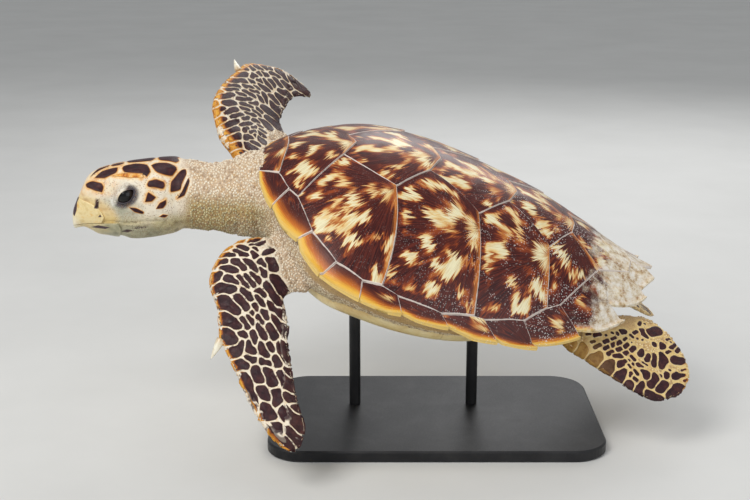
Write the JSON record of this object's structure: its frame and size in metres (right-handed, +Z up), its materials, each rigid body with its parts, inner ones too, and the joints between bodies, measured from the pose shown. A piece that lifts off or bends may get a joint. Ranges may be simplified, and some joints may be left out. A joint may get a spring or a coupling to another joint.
{
  "type": "hawksbill sea turtle model on stand",
  "caption": "Life-size hawksbill sea turtle swimming with overlapping shell scutes, serrated rear rim, hooked beak and spread flippers, held on two rods over a flat base.",
  "frame": {"origin": "centre of the stand's flat base at its underside", "axes": "+X from the head towards the tail, +Y to the turtle's right side, +Z up; the turtle's left side faces -Y"},
  "size_m": [0.7357, 0.4673, 0.4294],
  "materials": {
    "carapace": "glossy mottled horn in amber, red-brown and cream",
    "plastron": "smooth cream-yellow horn",
    "skin": "wrinkled cream skin with fine brown flecks",
    "head": "dark brown head scales with cream seams",
    "beak": "smooth yellowish horn",
    "eye": "wet dark eye",
    "flipper": "dark plum-brown scales with cream seams",
    "claw": "pale smooth horn",
    "stand": "satin black paint"
  },
  "bodies": {
    "root": {"claw_front_left": "claw", "claw_front_right": "claw", "eye_left": "eye", "eye_right": "eye", "flipper_front_left": "flipper", "flipper_front_right": "flipper", "flipper_rear_left": "flipper", "flipper_rear_right": "flipper", "head": "head", "lower_beak": "beak", "neck": "skin", "plastron": "plastron", "scute_costal_left_1": "carapace", "scute_costal_left_2": "carapace", "scute_costal_left_3": "carapace", "scute_costal_left_4": "carapace", "scute_costal_right_1": "carapace", "scute_costal_right_2": "carapace", "scute_costal_right_3": "carapace", "scute_costal_right_4": "carapace", "scute_marginal_left_1": "carapace", "scute_marginal_left_10": "carapace", "scute_marginal_left_11": "carapace", "scute_marginal_left_2": "carapace", "scute_marginal_left_3": "carapace", "scute_marginal_left_4": "carapace", "scute_marginal_left_5": "carapace", "scute_marginal_left_6": "carapace", "scute_marginal_left_7": "carapace", "scute_marginal_left_8": "carapace", "scute_marginal_left_9": "carapace", "scute_marginal_right_1": "carapace", "scute_marginal_right_10": "carapace", "scute_marginal_right_11": "carapace", "scute_marginal_right_2": "carapace", "scute_marginal_right_3": "carapace", "scute_marginal_right_4": "carapace", "scute_marginal_right_5": "carapace", "scute_marginal_right_6": "carapace", "scute_marginal_right_7": "carapace", "scute_marginal_right_8": "carapace", "scute_marginal_right_9": "carapace", "scute_nuchal": "carapace", "scute_supracaudal_left": "carapace", "scute_supracaudal_right": "carapace", "scute_vertebral_1": "carapace", "scute_vertebral_2": "carapace", "scute_vertebral_3": "carapace", "scute_vertebral_4": "carapace", "scute_vertebral_5": "carapace", "stand_base": "stand", "stand_rod_front": "stand", "stand_rod_rear": "stand", "tail": "skin", "trunk": "skin", "upper_beak": "beak"}
  },
  "joints": []
}
